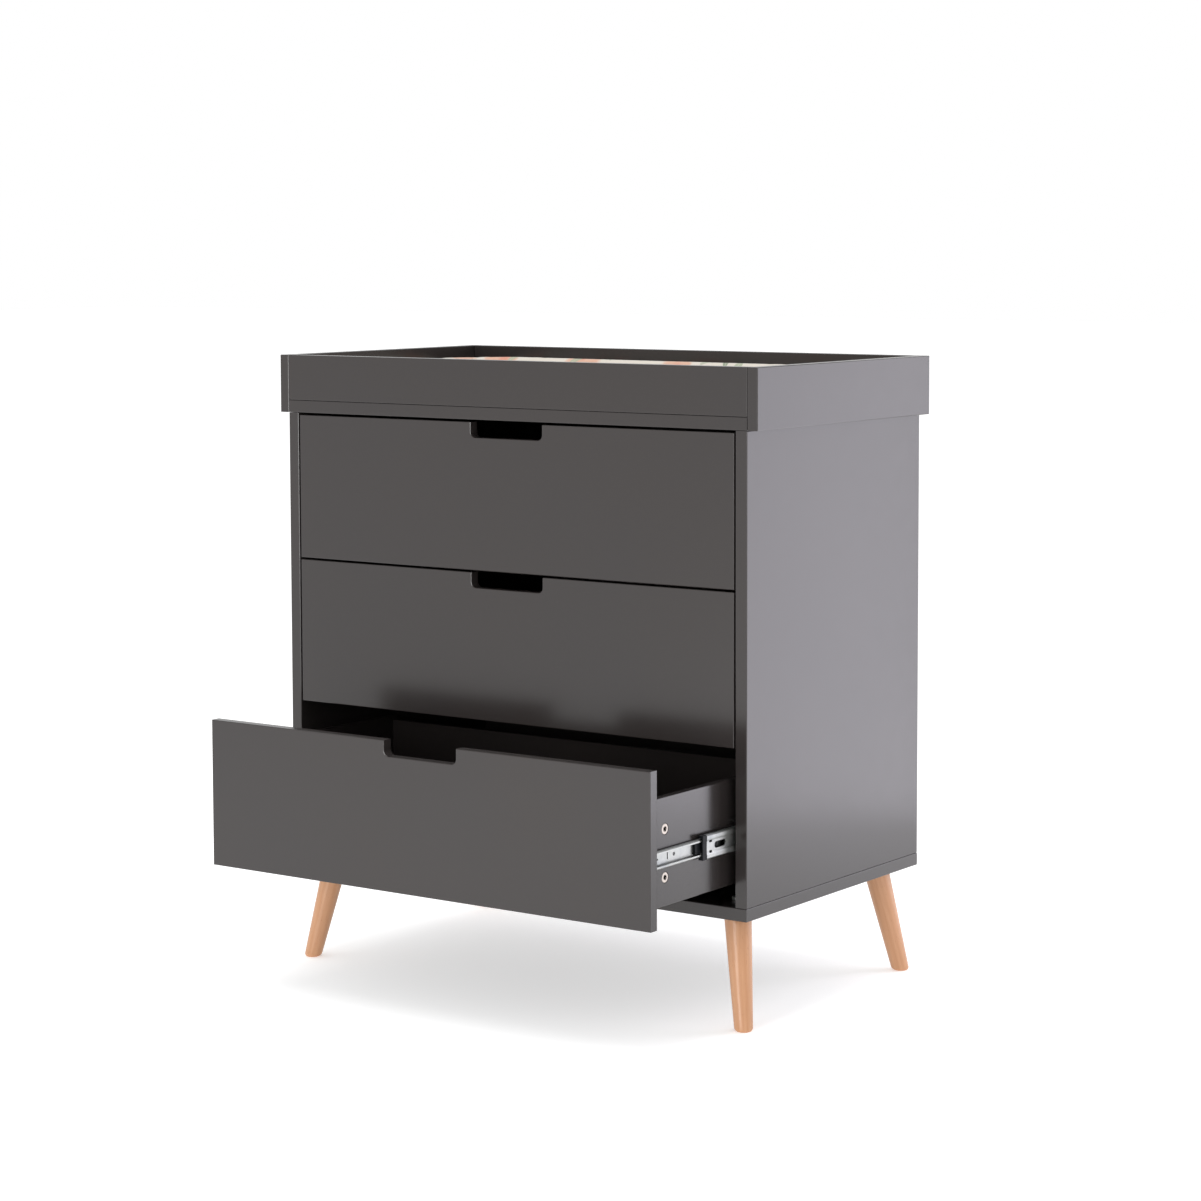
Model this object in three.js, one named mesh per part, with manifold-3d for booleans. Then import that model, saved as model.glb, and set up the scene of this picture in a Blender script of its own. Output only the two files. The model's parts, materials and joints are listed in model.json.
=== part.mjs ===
// A nursery changing table: a three-drawer cabinet on splayed legs, with a raised tray round its top.
// Millimetres, +Z up, +X to the right of somebody facing the drawers, +Y towards the wall.
// Inside the model, x = 0 is the middle of the cabinet, y = 0 the plane of its front edges
// and z = 0 the floor. The outermost group then moves the origin to the middle of the footprint.

import * as THREE from "three";
import { mergeVertices } from "three/addons/utils/BufferGeometryUtils.js";
import Module from "manifold-3d";

const wasm = await Module();
wasm.setup();

// ---- cabinet ----
const bodyWidth = 800;
const bodyDepth = 462;
const boardThickness = 18; // sides, top and base
const easedEdge = 1; // radius worked along every board edge
const seam = 0.3; // gap left where two pieces meet

const backThickness = 4;
const backInset = 10; // from the rear edges to the back panel
const grooveDepth = 6; // grooves that hold the back panel and the drawer bottoms
const grooveClearance = 0.3; // each side of a panel in its groove

// ---- legs ----
const legHeight = 155;
const legTopRadius = 19;
const legFootRadius = 13;
const footRounding = 2.5;
const legInsetX = 45; // from the cabinet's side to the leg's centre, at the top
const legInsetFront = 48;
const legInsetBack = 44;
const legSplay = 28; // how far the foot stands outwards of the top, in x and in y
const legBoltRadius = 4;
const legBoltReach = 32; // how far the bolt goes into the leg
const legBoltHeadRadius = 8;
const legBoltHeadHeight = 3.5;
const hexKeyRadius = 3;
const hexKeyDepth = 2.2;
const boltClearance = 0.4;
const headOverlap = 0.2; // how far the shank runs up into the head that is joined to it

// ---- tray round the top ----
const trayBoardThickness = 16;
const trayWallHeight = 66.5; // above the cabinet's top

// ---- drawers ----
const drawerFrontHeight = 210;
const drawerFrontThickness = 16;
const frontGap = 3; // under each drawer front
const topGap = 3.5; // over the upper drawer front
const sideGap = 2.5;
const notchWidth = 125;
const notchDepth = 22;
const notchRadius = 8;
const boxSideThickness = 12;
const boxHeight = 144;
const boxLift = 25; // from the front's lower edge up to the box
const boxRearRoom = 56; // from the box to the cabinet's back panel
const boxBackDrop = 7; // how far the box's back ends below its sides
const drawerBottomThickness = 5;
const drawerBottomLift = 10; // from the box's lower edge up to the bottom panel
const camRadius = 7.5;
const camDepth = 9.5;
const camSetback = 33; // from the drawer front's back face to the cam locks
const camHeights = [38, 102]; // above the box's lower edge
const holeClearance = 0.2;
const lowerDrawerPull = 198; // the lower drawer is kept partly open

// ---- ball-bearing runners ----
const runnerRearRoom = 23; // from the runner's rear end to the box's rear end
const runnerWidth = 12.7; // room between the drawer box and the cabinet side
const runnerSetback = 3; // from the drawer front's back face to the outer and inner members
const runnerLift = 65; // from the box's lower edge up to the runner's middle
const steel = 1.2; // sheet thickness
const steelBend = 1.4;
const innerMemberHeight = 24;
const innerBallRoom = 3.3; // between the inner member and the centre one, for the balls
const outerBallRoom = 4.8; // between the centre member and the outer one
const memberClearance = 0.5; // between members, across the runner
const outerMemberReach = 10; // how far its flanges come out from the cabinet side
const centreMemberReach = 6.8;
const centreMemberRib = 1.2; // how far its middle is pressed in
const centreMemberRibHeight = 18;
const centreMemberSetback = 14.5; // further back than the other two, when the drawer is shut
const lipDepth = 3;
const centreShare = 0.5; // of the drawer's travel

// Holes through the members' webs: how far back from the front end, and how far above the middle.
const outerHoles = [
  { round: 6, setback: 35, rise: 0 },
  { round: 6, setback: 227, rise: 0 },
];
const centreHoles = [
  { slot: [27, 9], setback: 33, rise: 0 },
  { slot: [7, 3.4], setback: 10, rise: centreMemberRibHeight / 2 - 2 },
  { slot: [7, 3.4], setback: 10, rise: 2 - centreMemberRibHeight / 2 },
];
const innerHoles = [
  { cross: [1.4, 9], setback: 4, rise: -3 },
  { round: 3, setback: 10, rise: 0 },
  { cross: [2.2, 9.5], setback: 33, rise: 1.5 },
  { round: 5.5, setback: 48.5, rise: 1.5 },
];

const leverLength = 52;
const leverTipHeight = 14;
const leverThickness = 3.6;
const leverSetback = 93; // from the inner member's front end to the lever's tip
const leverBossRadius = 7;

// ---- changing mat ----
const matEndRoom = 15; // between the mat and the tray's side boards
const matSideRoom = 8; // between the mat and the tray's front and back boards
const matRimHeight = 46;
const matRimWidth = 62;
const matRimCrest = 34; // from the mat's edge to where the rim starts to slope down
const matMiddleHeight = 24;
const matRounding = 16;

// ---- worked-out places ----
const baseTop = legHeight + boardThickness;
const frontPitch = drawerFrontHeight + frontGap;
const drawerCount = 3;
const sideHeight = drawerCount * frontPitch + topGap;
const topUnderside = baseTop + sideHeight;
const topSurface = topUnderside + boardThickness;
const insideHalf = bodyWidth / 2 - boardThickness;
const boxHalf = insideHalf - runnerWidth;
const frontWidth = 2 * (insideHalf - sideGap);
const backPlaneY = bodyDepth - backInset - backThickness / 2;
const boxFrontY = drawerFrontThickness + seam;
const boxRearY = backPlaneY - backThickness / 2 - boxRearRoom;
const runnerFrontY = drawerFrontThickness + runnerSetback;
const runnerLength = boxRearY - runnerRearRoom - runnerFrontY;
const matLength = bodyWidth - 2 * matEndRoom;
const matWidth = bodyDepth - 2 * trayBoardThickness - 2 * matSideRoom;

const centreMemberHeight = innerMemberHeight + 2 * (innerBallRoom + steel);
const outerMemberHeight = centreMemberHeight + 2 * (outerBallRoom + steel);
// Middles of the sheet, measured from the side of the drawer box.
const innerWeb = seam + steel / 2;
const outerWeb = runnerWidth - seam - steel / 2;
const centreWeb = outerWeb - steel - memberClearance;
const innerMouth = centreWeb - centreMemberRib - steel - memberClearance;

const paint = new THREE.MeshStandardMaterial({ color: 0x565153, roughness: 0.38, metalness: 0 });
const beech = new THREE.MeshStandardMaterial({ color: 0xd6a97c, roughness: 0.5, metalness: 0 });
const zinc = new THREE.MeshStandardMaterial({ color: 0xd9dcda, roughness: 0.3, metalness: 1 });
const blackPlastic = new THREE.MeshStandardMaterial({ color: 0x15171a, roughness: 0.45, metalness: 0 });
const matCover = new THREE.MeshStandardMaterial({ color: 0xf3ece2, roughness: 0.55, metalness: 0 });

// ---- geometry helpers ----
const axisX = new THREE.Vector3(1, 0, 0);
const axisY = new THREE.Vector3(0, 1, 0);
const axisZ = new THREE.Vector3(0, 0, 1);

// Turns an outline drawn in x and y, and pushed along z, so that its thickness lies along one axis.
const facing = {
  x: new THREE.Matrix4().makeBasis(axisY, axisZ, axisX), // outline in y and z
  y: new THREE.Matrix4().makeBasis(axisX, axisZ, axisY.clone().negate()), // outline in x and z
  z: new THREE.Matrix4(), // outline in x and y
};

function solidOf(geometry) {
  const bare = geometry.clone();
  bare.deleteAttribute("normal");
  bare.deleteAttribute("uv");
  const merged = mergeVertices(bare, 1e-4);
  return new wasm.Manifold(
    new wasm.Mesh({
      numProp: 3,
      vertProperties: new Float32Array(merged.attributes.position.array),
      triVerts: new Uint32Array(merged.index.array),
    }),
  );
}

function geometryOf(solid) {
  const mesh = solid.getMesh();
  const geometry = new THREE.BufferGeometry();
  geometry.setAttribute("position", new THREE.BufferAttribute(mesh.vertProperties, 3));
  geometry.setIndex(new THREE.BufferAttribute(mesh.triVerts, 1));
  const flat = geometry.toNonIndexed();
  flat.computeVertexNormals();
  return flat;
}

function cut(geometry, tools) {
  const solid = tools.reduce((rest, tool) => rest.subtract(solidOf(tool)), solidOf(geometry));
  return geometryOf(solid);
}

function join(...pieces) {
  return geometryOf(pieces.map(solidOf).reduce((sum, piece) => sum.add(piece)));
}

function at(geometry, x, y, z) {
  return geometry.translate(x, y, z);
}

function rectangle(width, height) {
  const shape = new THREE.Shape();
  shape.moveTo(-width / 2, -height / 2);
  shape.lineTo(width / 2, -height / 2);
  shape.lineTo(width / 2, height / 2);
  shape.lineTo(-width / 2, height / 2);
  shape.closePath();
  return shape;
}

function circle(diameter) {
  const shape = new THREE.Shape();
  shape.absarc(0, 0, diameter / 2, 0, 2 * Math.PI, false);
  return shape;
}

// A long hole with round ends, lying along the outline's first axis.
function slotOutline(length, width) {
  const shape = new THREE.Shape();
  const straight = (length - width) / 2;
  shape.moveTo(-straight, -width / 2);
  shape.lineTo(straight, -width / 2);
  shape.absarc(straight, 0, width / 2, -Math.PI / 2, Math.PI / 2, false);
  shape.lineTo(-straight, width / 2);
  shape.absarc(-straight, 0, width / 2, Math.PI / 2, (3 * Math.PI) / 2, false);
  return shape;
}

// A plate of any outline, centred on its thickness, with sharp edges.
function plate(outline, thickness, normal, curveSegments = 5) {
  const geometry = new THREE.ExtrudeGeometry(outline, {
    depth: thickness,
    bevelEnabled: false,
    curveSegments,
  });
  return geometry.translate(0, 0, -thickness / 2).applyMatrix4(facing[normal]);
}

// The same with its edges eased, as a board is.
function board(outline, thickness, normal) {
  const geometry = new THREE.ExtrudeGeometry(outline, {
    depth: thickness - 2 * easedEdge,
    bevelEnabled: true,
    bevelThickness: easedEdge,
    bevelSize: easedEdge,
    bevelOffset: -easedEdge,
    bevelSegments: 2,
    curveSegments: 4,
  });
  return geometry.translate(0, 0, easedEdge - thickness / 2).applyMatrix4(facing[normal]);
}

function block(x, y, z) {
  return new THREE.BoxGeometry(x, y, z);
}

function rod(radius, length, axis, segments = 16) {
  const geometry = new THREE.CylinderGeometry(radius, radius, length, segments);
  if (axis === "x") geometry.rotateZ(Math.PI / 2);
  if (axis === "z") geometry.rotateX(Math.PI / 2);
  return geometry;
}

function addMesh(parent, name, geometry, material, x, y, z) {
  const mesh = new THREE.Mesh(geometry, material);
  mesh.name = name;
  mesh.position.set(x, y, z);
  parent.add(mesh);
}

// A group for one side of the table: the left one is the right one mirrored.
function sideGroup(parent, side) {
  const half = new THREE.Group();
  half.scale.x = side === "left" ? -1 : 1;
  parent.add(half);
  return half;
}

const sides = ["left", "right"];

// ---- cabinet ----
function grooveWidth(panelThickness) {
  return panelThickness + 2 * grooveClearance;
}

function addCabinet(parent) {
  const sideSpan = sideHeight - 2 * seam;
  const sideCentreZ = baseTop + sideHeight / 2;
  for (const side of sides) {
    const panel = board(rectangle(bodyDepth, sideSpan), boardThickness, "x");
    const groove = at(
      block(2 * grooveDepth, grooveWidth(backThickness), 2 * sideHeight),
      -boardThickness / 2,
      backPlaneY - bodyDepth / 2,
      0,
    );
    const x = (bodyWidth - boardThickness) / 2;
    const half = sideGroup(parent, side);
    addMesh(half, `cabinet_side_${side}`, cut(panel, [groove]), paint, x, bodyDepth / 2, sideCentreZ);
  }

  const longGroove = (z) =>
    at(
      block(2 * (insideHalf + grooveDepth), grooveWidth(backThickness), 2 * grooveDepth),
      0,
      backPlaneY - bodyDepth / 2,
      z,
    );
  const top = board(rectangle(bodyWidth, bodyDepth), boardThickness, "z");
  const topWithGroove = cut(top, [longGroove(-boardThickness / 2)]);
  addMesh(parent, "cabinet_top", topWithGroove, paint, 0, bodyDepth / 2, topSurface - boardThickness / 2);

  const base = board(rectangle(bodyWidth, bodyDepth), boardThickness, "z");
  const boltHoles = legPlaces.map(({ x, y }) =>
    at(rod(legBoltRadius + boltClearance, 2 * boardThickness, "z"), x, y - bodyDepth / 2, 0),
  );
  const finishedBase = cut(base, [longGroove(boardThickness / 2), ...boltHoles]);
  addMesh(parent, "cabinet_base", finishedBase, paint, 0, bodyDepth / 2, baseTop - boardThickness / 2);

  const reach = grooveDepth - grooveClearance;
  const back = block(2 * (insideHalf + reach), backThickness, sideHeight + 2 * reach);
  addMesh(parent, "cabinet_back", back, paint, 0, backPlaneY, sideCentreZ);
}

// ---- legs and the bolts that hold them ----
const legPlaces = ["front", "back"].flatMap((end) =>
  sides.map((side) => ({
    end,
    side,
    x: (side === "left" ? -1 : 1) * (bodyWidth / 2 - legInsetX),
    y: end === "front" ? legInsetFront : bodyDepth - legInsetBack,
  })),
);

function legGeometry(outwardX, outwardY) {
  const height = legHeight - seam;
  const profile = new THREE.Path();
  profile.moveTo(0, 0);
  profile.lineTo(legFootRadius - footRounding, 0);
  profile.absarc(legFootRadius - footRounding, footRounding, footRounding, -Math.PI / 2, 0, false);
  profile.lineTo(legTopRadius, height);
  profile.lineTo(0, height);
  const points = profile.getPoints(4);
  const leg = new THREE.LatheGeometry(points, 32).rotateX(Math.PI / 2);
  // Leans outwards from the top, with each level section kept round.
  const lean = new THREE.Matrix4().set(
    1, 0, -outwardX / legHeight, outwardX,
    0, 1, -outwardY / legHeight, outwardY,
    0, 0, 1, 0,
    0, 0, 0, 1,
  );
  return leg.applyMatrix4(lean);
}

function legBoltGeometry() {
  const length = legBoltReach + boardThickness + seam;
  const shank = at(rod(legBoltRadius, length, "z", 20), 0, 0, headOverlap - length / 2);
  const head = at(rod(legBoltHeadRadius, legBoltHeadHeight, "z", 20), 0, 0, legBoltHeadHeight / 2);
  const socket = at(rod(hexKeyRadius, 2 * hexKeyDepth, "z", 6), 0, 0, legBoltHeadHeight);
  return cut(join(shank, head), [socket]);
}

function addLegs(parent) {
  for (const { end, side, x, y } of legPlaces) {
    const outwardX = Math.sign(x) * legSplay;
    const outwardY = (end === "front" ? -1 : 1) * legSplay;
    const boltHoleDepth = legBoltReach + 2 * boltClearance;
    const boltHole = at(rod(legBoltRadius + boltClearance, 2 * boltHoleDepth, "z"), 0, 0, legHeight);
    const leg = cut(legGeometry(outwardX, outwardY), [boltHole]);
    addMesh(parent, `leg_${end}_${side}`, leg, beech, x, y, 0);
    addMesh(parent, `leg_bolt_${end}_${side}`, legBoltGeometry(), zinc, x, y, baseTop + seam);
  }
}

// ---- tray: side boards hang over the ends of the top, front and back boards stand on it ----
function addTray(parent) {
  const sideBoardHeight = trayWallHeight + boardThickness;
  const x = bodyWidth / 2 + seam + trayBoardThickness / 2;
  for (const side of sides) {
    const sideBoard = board(rectangle(bodyDepth, sideBoardHeight), trayBoardThickness, "x");
    const half = sideGroup(parent, side);
    const z = topUnderside + sideBoardHeight / 2;
    addMesh(half, `tray_side_${side}`, sideBoard, paint, x, bodyDepth / 2, z);
  }
  const wall = trayWallHeight - seam;
  const wallZ = topSurface + seam + wall / 2;
  const ends = { front: trayBoardThickness / 2, back: bodyDepth - trayBoardThickness / 2 };
  for (const [end, y] of Object.entries(ends)) {
    const wallBoard = board(rectangle(bodyWidth, wall), trayBoardThickness, "y");
    addMesh(parent, `tray_${end}`, wallBoard, paint, 0, y, wallZ);
  }
}

// ---- drawers ----
function drawerFrontOutline() {
  const right = frontWidth / 2;
  const top = drawerFrontHeight / 2;
  const notchHalf = notchWidth / 2;
  const notchFloor = top - notchDepth;
  const shape = new THREE.Shape();
  shape.moveTo(-right, -top);
  shape.lineTo(right, -top);
  shape.lineTo(right, top);
  shape.lineTo(notchHalf, top);
  shape.lineTo(notchHalf, notchFloor + notchRadius);
  const arcX = notchHalf - notchRadius;
  const arcZ = notchFloor + notchRadius;
  shape.absarc(arcX, arcZ, notchRadius, 0, -Math.PI / 2, true);
  shape.lineTo(-arcX, notchFloor);
  shape.absarc(-arcX, arcZ, notchRadius, -Math.PI / 2, -Math.PI, true);
  shape.lineTo(-notchHalf, top);
  shape.lineTo(-right, top);
  shape.closePath();
  return shape;
}

function addDrawer(parent, drawer, frontBottomZ, pull) {
  const group = new THREE.Group();
  group.position.set(0, -pull, frontBottomZ);
  parent.add(group);

  const boxBottom = boxLift;
  const panelZ = boxBottom + drawerBottomLift + drawerBottomThickness / 2;
  const grooveHeight = grooveWidth(drawerBottomThickness);
  const insideBox = boxHalf - boxSideThickness;

  const front = board(drawerFrontOutline(), drawerFrontThickness, "y");
  const frontGroove = at(
    block(2 * (insideBox + grooveDepth), 2 * grooveDepth, grooveHeight),
    0,
    drawerFrontThickness / 2,
    panelZ - drawerFrontHeight / 2,
  );
  addMesh(group, `${drawer}_drawer_front`, cut(front, [frontGroove]), paint,
    0, drawerFrontThickness / 2, drawerFrontHeight / 2);

  const sideLength = boxRearY - boxFrontY;
  const sideX = boxHalf - boxSideThickness / 2;
  const sideY = (boxFrontY + boxRearY) / 2;
  const sideZ = boxBottom + boxHeight / 2;
  for (const side of sides) {
    const panel = board(rectangle(sideLength, boxHeight), boxSideThickness, "x");
    const groove = at(
      block(2 * grooveDepth, 2 * sideLength, grooveHeight),
      -boxSideThickness / 2,
      0,
      panelZ - sideZ,
    );
    const camHoles = camHeights.map((height) =>
      at(
        rod(camRadius + holeClearance, 2 * camDepth, "x", 20),
        boxSideThickness / 2,
        drawerFrontThickness + camSetback - sideY,
        height - boxHeight / 2,
      ),
    );
    const half = sideGroup(group, side);
    const boredPanel = cut(panel, [groove, ...camHoles]);
    addMesh(half, `${drawer}_drawer_side_${side}`, boredPanel, paint, sideX, sideY, sideZ);
  }

  const backBottom = panelZ + drawerBottomThickness / 2 + seam;
  const backHeight = boxBottom + boxHeight - boxBackDrop - backBottom;
  const back = board(rectangle(2 * (insideBox - seam), backHeight), boxSideThickness, "y");
  addMesh(group, `${drawer}_drawer_back`, back, paint,
    0, boxRearY - boxSideThickness / 2, backBottom + backHeight / 2);

  const reach = grooveDepth - grooveClearance;
  const bottomFrontY = drawerFrontThickness - reach;
  const bottomDepth = boxRearY - bottomFrontY;
  const bottom = block(2 * (insideBox + reach), bottomDepth, drawerBottomThickness);
  addMesh(group, `${drawer}_drawer_bottom`, bottom, paint, 0, bottomFrontY + bottomDepth / 2, panelZ);
}

// ---- runners ----
// Cuts each inner corner of a path off, as a bend does.
function bent(path) {
  return path.flatMap((corner, i) => {
    if (i === 0 || i === path.length - 1) return [corner];
    return [path[i - 1], path[i + 1]].map((next) => {
      const run = next.clone().sub(corner);
      const setback = Math.min(steelBend, run.length() / 2 - seam);
      return corner.clone().addScaledVector(run.normalize(), setback);
    });
  });
}

// The outline of sheet steel whose middle follows a path.
function stripOutline(path) {
  const offset = (sign) =>
    path.map((point, i) => {
      const before = point.clone().sub(path[Math.max(i - 1, 0)]);
      const after = path[Math.min(i + 1, path.length - 1)].clone().sub(point);
      const into = (i === 0 ? after : before).normalize();
      const outof = (i === path.length - 1 ? before : after).normalize();
      const mean = into.clone().add(outof).normalize();
      const reach = steel / 2 / mean.dot(into);
      return new THREE.Vector2(point.x - sign * mean.y * reach, point.y + sign * mean.x * reach);
    });
  return new THREE.Shape([...offset(-1), ...offset(1).reverse()]);
}

// A channel from its web to its mouth, with lips turned in, and a pressed rib if it has one.
function channelOutline(web, mouth, height, rib, ribHeight) {
  const half = (height - steel) / 2;
  const upper = [[web, half], [mouth, half], [mouth, half - lipDepth]].map((p) => new THREE.Vector2(...p));
  if (rib) {
    const ribEdge = ribHeight / 2;
    upper.unshift(new THREE.Vector2(web - rib, ribEdge), new THREE.Vector2(web, ribEdge));
  }
  const lower = upper.map((point) => new THREE.Vector2(point.x, -point.y)).reverse();
  return stripOutline(bent([...lower, ...upper]));
}

// A runner member of one length, with its round holes, long slots and cross slots cut through the web.
function runnerMember(outline, length, holes) {
  const tools = holes.map(({ round, slot, cross, setback, rise }) => {
    const hole = round ? circle(round) : slot ? slotOutline(...slot) : rectangle(...cross);
    return at(plate(hole, 3 * runnerWidth, "x", 4), 0, setback - length / 2, rise);
  });
  return cut(plate(outline, length, "y"), tools);
}

function addRunner(parent, drawer, side, frontBottomZ, pull) {
  const z = frontBottomZ + boxLift + runnerLift;
  const centreY = runnerFrontY + runnerLength / 2;
  const half = sideGroup(parent, side);
  const name = `${drawer}_runner_${side}`;

  const outerOutline = channelOutline(outerWeb, outerWeb - outerMemberReach, outerMemberHeight);
  const outer = runnerMember(outerOutline, runnerLength, outerHoles);
  addMesh(half, `${name}_outer_member`, outer, zinc, boxHalf, centreY, z);

  const centreMouth = centreWeb - centreMemberReach;
  const centreOutline = channelOutline(
    centreWeb, centreMouth, centreMemberHeight, centreMemberRib, centreMemberRibHeight);
  const centreLength = runnerLength - centreMemberSetback;
  const centre = runnerMember(centreOutline, centreLength, centreHoles);
  const centreMemberY = centreY + centreMemberSetback / 2 - centreShare * pull;
  addMesh(half, `${name}_centre_member`, centre, zinc, boxHalf, centreMemberY, z);

  const innerOutline = channelOutline(innerWeb, innerMouth, innerMemberHeight);
  const inner = runnerMember(innerOutline, runnerLength, innerHoles);
  addMesh(half, `${name}_inner_member`, inner, zinc, boxHalf, centreY - pull, z);

  const leverFloor = innerWeb + steel / 2 + seam;
  const lever = leverGeometry();
  const bossY = runnerFrontY + leverSetback + leverLength - leverBossRadius - pull;
  addMesh(half, `${name}_release_lever`, lever, blackPlastic,
    boxHalf + leverFloor + leverThickness / 2, bossY, z);
}

// The lever turns on a boss at its rear end and narrows a little towards its tip.
function leverGeometry() {
  const tip = -(leverLength - leverBossRadius);
  const tipHalf = leverTipHeight / 2;
  const shape = new THREE.Shape();
  shape.moveTo(tip, -tipHalf);
  shape.lineTo(0, -leverBossRadius);
  shape.absarc(0, 0, leverBossRadius, -Math.PI / 2, Math.PI / 2, false);
  shape.lineTo(tip, tipHalf);
  shape.closePath();
  return plate(shape, leverThickness, "x", 8);
}

// ---- changing mat: a pad with a raised rim along both long sides and at the head end ----
function rimOutline(span, rims) {
  const half = span / 2;
  const shape = new THREE.Shape();
  const shoulder = matRimHeight - matRounding;
  shape.moveTo(-half, 0);
  shape.lineTo(half, 0);
  if (rims === 2) {
    shape.lineTo(half, shoulder);
    shape.quadraticCurveTo(half, matRimHeight, half - matRounding, matRimHeight);
    shape.lineTo(half - matRimCrest, matRimHeight);
    shape.lineTo(half - matRimWidth, matMiddleHeight);
  } else {
    shape.lineTo(half, matMiddleHeight);
  }
  shape.lineTo(matRimWidth - half, matMiddleHeight);
  shape.lineTo(matRimCrest - half, matRimHeight);
  shape.lineTo(matRounding - half, matRimHeight);
  shape.quadraticCurveTo(-half, matRimHeight, -half, shoulder);
  shape.closePath();
  return shape;
}

function addMat(parent) {
  const inset = 2 * matRounding;
  const lengthways = plate(rimOutline(matWidth, 2), matLength, "x", 4);
  const acrossRim = plate(rimOutline(matLength - 2 * seam, 1), matWidth - inset, "y", 4);
  addMesh(parent, "changing_mat", join(lengthways, acrossRim), matCover,
    0, bodyDepth / 2, topSurface + seam);
}

// ---- assembly ----
const table = new THREE.Group();
addCabinet(table);
addLegs(table);
addTray(table);
["lower", "middle", "upper"].forEach((drawer, row) => {
  const frontBottomZ = baseTop + frontGap + row * frontPitch;
  const pull = drawer === "lower" ? lowerDrawerPull : 0;
  addDrawer(table, drawer, frontBottomZ, pull);
  for (const side of sides) addRunner(table, drawer, side, frontBottomZ, pull);
});
addMat(table);

// The origin is on the floor, under the middle of everything the table covers with its drawer open.
table.position.y = -(bodyDepth - lowerDrawerPull) / 2;
const group = new THREE.Group();
group.add(table);

export default group;
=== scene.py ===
import json
import math

import bmesh
import bpy
from mathutils import Matrix, Vector
from mathutils.bvhtree import BVHTree


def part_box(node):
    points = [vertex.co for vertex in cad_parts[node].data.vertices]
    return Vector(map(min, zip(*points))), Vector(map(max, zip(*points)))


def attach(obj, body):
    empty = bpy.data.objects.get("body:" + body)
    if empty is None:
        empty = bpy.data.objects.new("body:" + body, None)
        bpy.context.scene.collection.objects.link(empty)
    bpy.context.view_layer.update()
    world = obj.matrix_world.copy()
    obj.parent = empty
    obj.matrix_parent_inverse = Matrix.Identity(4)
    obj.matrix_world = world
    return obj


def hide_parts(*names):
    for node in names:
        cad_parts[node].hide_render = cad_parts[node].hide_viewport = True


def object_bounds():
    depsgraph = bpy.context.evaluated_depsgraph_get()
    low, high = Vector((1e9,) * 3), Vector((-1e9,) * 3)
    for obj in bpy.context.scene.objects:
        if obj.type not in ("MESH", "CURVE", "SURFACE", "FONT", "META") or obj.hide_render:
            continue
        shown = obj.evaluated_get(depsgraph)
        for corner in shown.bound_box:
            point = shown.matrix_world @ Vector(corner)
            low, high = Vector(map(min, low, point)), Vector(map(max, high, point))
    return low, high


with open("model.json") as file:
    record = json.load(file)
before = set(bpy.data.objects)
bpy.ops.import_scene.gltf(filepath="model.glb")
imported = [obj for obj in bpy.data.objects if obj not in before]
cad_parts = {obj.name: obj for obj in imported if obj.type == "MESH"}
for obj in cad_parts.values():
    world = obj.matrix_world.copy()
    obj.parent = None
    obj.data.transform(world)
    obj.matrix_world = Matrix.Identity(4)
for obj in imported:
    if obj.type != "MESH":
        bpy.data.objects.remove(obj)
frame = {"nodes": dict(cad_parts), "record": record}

scene = bpy.context.scene
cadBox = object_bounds()
sides = ("left", "right")
ends = ("front", "back")
drawers = ("lower", "middle", "upper")


# Node trees written as expressions

class Wire:  # an output socket that can be added, multiplied and so on
    def __init__(self, sheet, node, output=0):
        self.sheet = sheet
        self.node = node
        self.socket = node.outputs[output] if len(node.outputs) else None

    def output(self, place):
        return Wire(self.sheet, self.node, place)

    def __add__(self, other):
        return self.sheet.math("ADD", self, other)

    def __radd__(self, other):
        return self.sheet.math("ADD", other, self)

    def __sub__(self, other):
        return self.sheet.math("SUBTRACT", self, other)

    def __rsub__(self, other):
        return self.sheet.math("SUBTRACT", other, self)

    def __mul__(self, other):
        return self.sheet.math("MULTIPLY", self, other)

    def __rmul__(self, other):
        return self.sheet.math("MULTIPLY", other, self)

    def __truediv__(self, other):
        return self.sheet.math("DIVIDE", self, other)

    def __abs__(self):
        return self.sheet.math("ABSOLUTE", self)


class Sheet:  # a shader or geometry tree that is being filled in
    def __init__(self, tree):
        self.tree = tree

    def node(self, kind, settings=None, values=None, output=0):
        made = self.tree.nodes.new(kind)
        for name, setting in (settings or {}).items():
            setattr(made, name, setting)
        for place, value in (values or {}).items():
            for part in value if isinstance(value, list) else [value]:
                if isinstance(part, Wire):
                    self.tree.links.new(part.socket, made.inputs[place])
                else:
                    made.inputs[place].default_value = part
        return Wire(self, made, output)

    def math(self, operation, *values):
        return self.node("ShaderNodeMath", {"operation": operation}, dict(enumerate(values)))

    def vector(self, operation, *values):
        return self.node("ShaderNodeVectorMath", {"operation": operation}, dict(enumerate(values)))

    def blend(self, factor, first, second, kind="MIX"):  # of two colours
        settings = {"data_type": "RGBA", "blend_type": kind}
        return self.node("ShaderNodeMix", settings, {0: factor, 6: first, 7: second}, 2)

    def step(self, value, start, end):  # rises smoothly from 0 to 1 between start and end
        values = {"Value": value, "From Min": start, "From Max": end}
        return self.node("ShaderNodeMapRange", {"interpolation_type": "SMOOTHSTEP"}, values)

    def noise(self, place, scale, detail=2.0, roughness=0.5):
        values = {"Vector": place, "Scale": scale, "Detail": detail, "Roughness": roughness}
        return self.node("ShaderNodeTexNoise", {}, values)

    def stretched(self, place, scale):  # a place with each axis scaled by itself
        return self.node("ShaderNodeMapping", {}, {"Vector": place, "Scale": scale})

    def bump(self, height, distance, strength=1.0, before=None):
        values = {"Height": height, "Distance": distance, "Strength": strength}
        if before:
            values["Normal"] = before
        return self.node("ShaderNodeBump", {}, values)

    def split(self, vector):
        parts = self.node("ShaderNodeSeparateXYZ", {}, {0: vector})
        return parts, parts.output(1), parts.output(2)


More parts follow.
